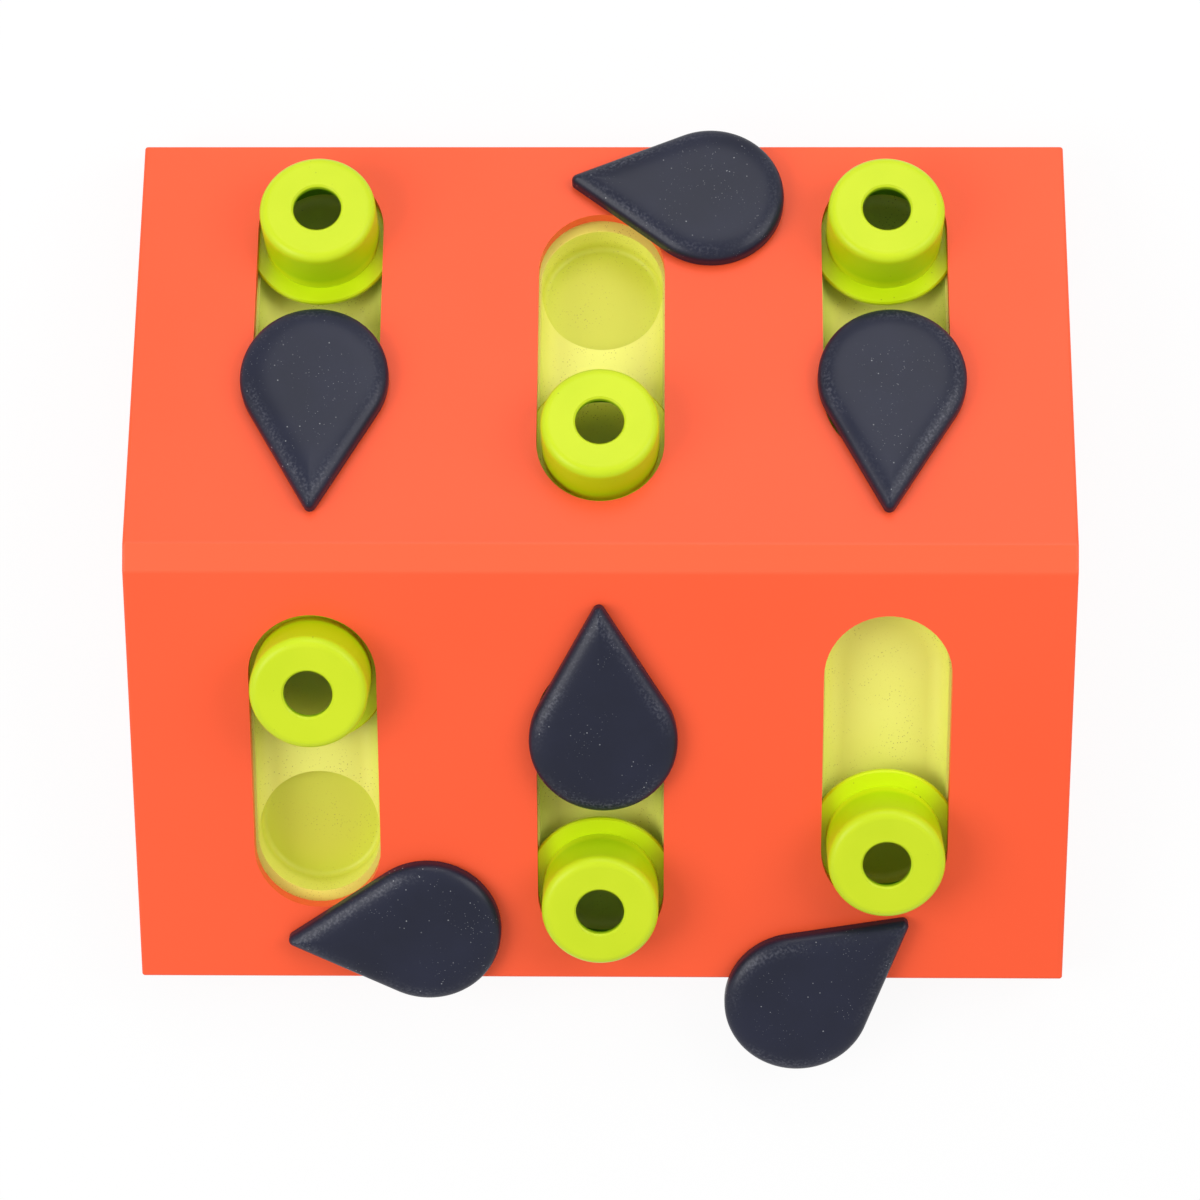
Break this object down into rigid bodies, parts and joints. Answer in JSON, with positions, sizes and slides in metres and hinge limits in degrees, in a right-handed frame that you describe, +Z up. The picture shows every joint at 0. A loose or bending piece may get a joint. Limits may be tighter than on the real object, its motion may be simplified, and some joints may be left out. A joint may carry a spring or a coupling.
{
  "type": "cat puzzle feeder",
  "caption": "House-shaped cat puzzle feeder: sloped slots with food cups, hollow sliding knobs and swinging raindrop lids.",
  "frame": {"origin": "bottom centre of the whole part's box, on the plane the feet rest on", "axes": "+Z up, +X along the ridge to the viewer's right, +Y towards the back slope"},
  "size_m": [0.31, 0.3172, 0.0839],
  "materials": {
    "shell_orange": "satin",
    "tray_yellow": "satin",
    "knob_lime": "semi-gloss",
    "lid_slate": "matte",
    "bush_white": "smooth",
    "screw_steel": "zinc plated",
    "foot_rubber": "matte"
  },
  "bodies": {
    "housing": {"shell": "shell_orange", "back_left_tray": "tray_yellow", "back_middle_tray": "tray_yellow", "back_right_tray": "tray_yellow", "front_left_tray": "tray_yellow", "front_middle_tray": "tray_yellow", "front_right_tray": "tray_yellow", "back_left_pivot_bush": "bush_white", "back_middle_pivot_bush": "bush_white", "back_right_pivot_bush": "bush_white", "front_left_pivot_bush": "bush_white", "front_middle_pivot_bush": "bush_white", "front_right_pivot_bush": "bush_white", "back_tray_screws": "screw_steel", "front_tray_screws": "screw_steel", "back_left_foot": "foot_rubber", "back_right_foot": "foot_rubber", "front_left_foot": "foot_rubber", "front_right_foot": "foot_rubber"},
    "back_left_knob": {"back_left_knob": "knob_lime"},
    "back_left_lid": {"back_left_lid": "lid_slate", "back_left_pivot_washer": "screw_steel", "back_left_pivot_screw": "screw_steel"},
    "back_middle_knob": {"back_middle_knob": "knob_lime"},
    "back_middle_lid": {"back_middle_lid": "lid_slate", "back_middle_pivot_washer": "screw_steel", "back_middle_pivot_screw": "screw_steel"},
    "back_right_knob": {"back_right_knob": "knob_lime"},
    "back_right_lid": {"back_right_lid": "lid_slate", "back_right_pivot_washer": "screw_steel", "back_right_pivot_screw": "screw_steel"},
    "front_left_knob": {"front_left_knob": "knob_lime"},
    "front_left_lid": {"front_left_lid": "lid_slate", "front_left_pivot_washer": "screw_steel", "front_left_pivot_screw": "screw_steel"},
    "front_middle_knob": {"front_middle_knob": "knob_lime"},
    "front_middle_lid": {"front_middle_lid": "lid_slate", "front_middle_pivot_washer": "screw_steel", "front_middle_pivot_screw": "screw_steel"},
    "front_right_knob": {"front_right_knob": "knob_lime"},
    "front_right_lid": {"front_right_lid": "lid_slate", "front_right_pivot_washer": "screw_steel", "front_right_pivot_screw": "screw_steel"}
  },
  "joints": [
    {"name": "back_left_knob_slide", "type": "slide", "parent": "housing", "child": "back_left_knob", "axis": [0, -0.9361, 0.3518], "range_m": [0, 0.05956]},
    {"name": "back_left_lid_swing", "type": "hinge", "parent": "housing", "child": "back_left_lid", "pos_m": [-0.09425, 0.03734, 0.06831], "axis": [0, -0.3518, -0.9361], "range_deg": [0, 95.5]},
    {"name": "back_middle_knob_slide", "type": "slide", "parent": "housing", "child": "back_middle_knob", "axis": [0, 0.9361, -0.3518], "range_m": [0, 0.05956]},
    {"name": "back_middle_lid_swing", "type": "hinge", "parent": "housing", "child": "back_middle_lid", "pos_m": [0, 0.1384, 0.03032], "axis": [0, 0.3518, 0.9361], "continuous": true},
    {"name": "back_right_knob_slide", "type": "slide", "parent": "housing", "child": "back_right_knob", "axis": [0, -0.9361, 0.3518], "range_m": [0, 0.05956]},
    {"name": "back_right_lid_swing", "type": "hinge", "parent": "housing", "child": "back_right_lid", "pos_m": [0.09425, 0.03734, 0.06831], "axis": [0, -0.3518, -0.9361], "range_deg": [0, 95.5]},
    {"name": "front_left_knob_slide", "type": "slide", "parent": "housing", "child": "front_left_knob", "axis": [0, -0.9361, -0.3518], "range_m": [0, 0.05956]},
    {"name": "front_left_lid_swing", "type": "hinge", "parent": "housing", "child": "front_left_lid", "pos_m": [-0.09425, -0.1122, 0.03032], "axis": [0, -0.3518, 0.9361], "continuous": true},
    {"name": "front_middle_knob_slide", "type": "slide", "parent": "housing", "child": "front_middle_knob", "axis": [0, 0.9361, 0.3518], "range_m": [0, 0.05956]},
    {"name": "front_middle_lid_swing", "type": "hinge", "parent": "housing", "child": "front_middle_lid", "pos_m": [0, -0.01114, 0.06831], "axis": [0, -0.3518, 0.9361], "range_deg": [0, 95.5]},
    {"name": "front_right_knob_slide", "type": "slide", "parent": "housing", "child": "front_right_knob", "axis": [0, 0.9361, 0.3518], "range_m": [0, 0.05956]},
    {"name": "front_right_lid_swing", "type": "hinge", "parent": "housing", "child": "front_right_lid", "pos_m": [0.09425, -0.1122, 0.03032], "axis": [0, -0.3518, 0.9361], "range_deg": [-45, 146]}
  ],
  "couplings": [
    {"joint": "back_left_lid_swing", "follows": "back_left_knob_slide", "rad_per_m": 27.837},
    {"joint": "back_right_lid_swing", "follows": "back_right_knob_slide", "rad_per_m": 27.837},
    {"joint": "front_middle_lid_swing", "follows": "front_middle_knob_slide", "rad_per_m": 27.837}
  ]
}
